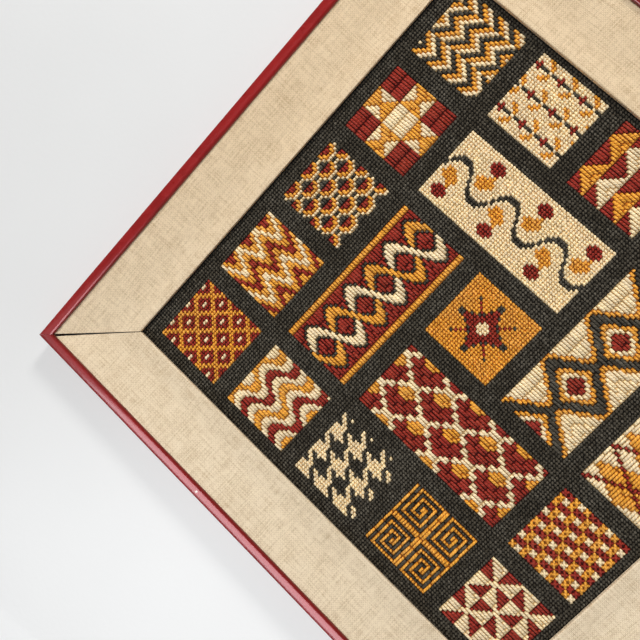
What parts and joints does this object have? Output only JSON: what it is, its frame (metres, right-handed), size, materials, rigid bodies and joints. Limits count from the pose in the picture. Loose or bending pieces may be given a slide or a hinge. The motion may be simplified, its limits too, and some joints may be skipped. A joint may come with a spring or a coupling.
{
  "type": "framed needlepoint embroidery",
  "caption": "Needlepoint sampler of patterned square blocks on a dark stitched ground, in a sloped linen-covered liner and a narrow red lacquered frame, lying face up.",
  "frame": {"origin": "middle of the flat back, under the centre of the picture", "axes": "+Z out of the picture's face, +Y towards the picture's top, +X towards its right side"},
  "size_m": [0.4162, 0.4302, 0.0206],
  "materials": {
    "lacquer": "red gloss lacquer on wood",
    "linen": "natural plain-weave linen over wood",
    "wool": "wool stitched on canvas, matt",
    "board": "plain brown hardboard"
  },
  "bodies": {
    "root": {"rail_top": "lacquer", "rail_left": "lacquer", "rail_bottom": "lacquer", "rail_right": "lacquer", "liner_top": "linen", "liner_left": "linen", "liner_bottom": "linen", "liner_right": "linen", "canvas": "wool", "backing_board": "board"}
  },
  "joints": []
}
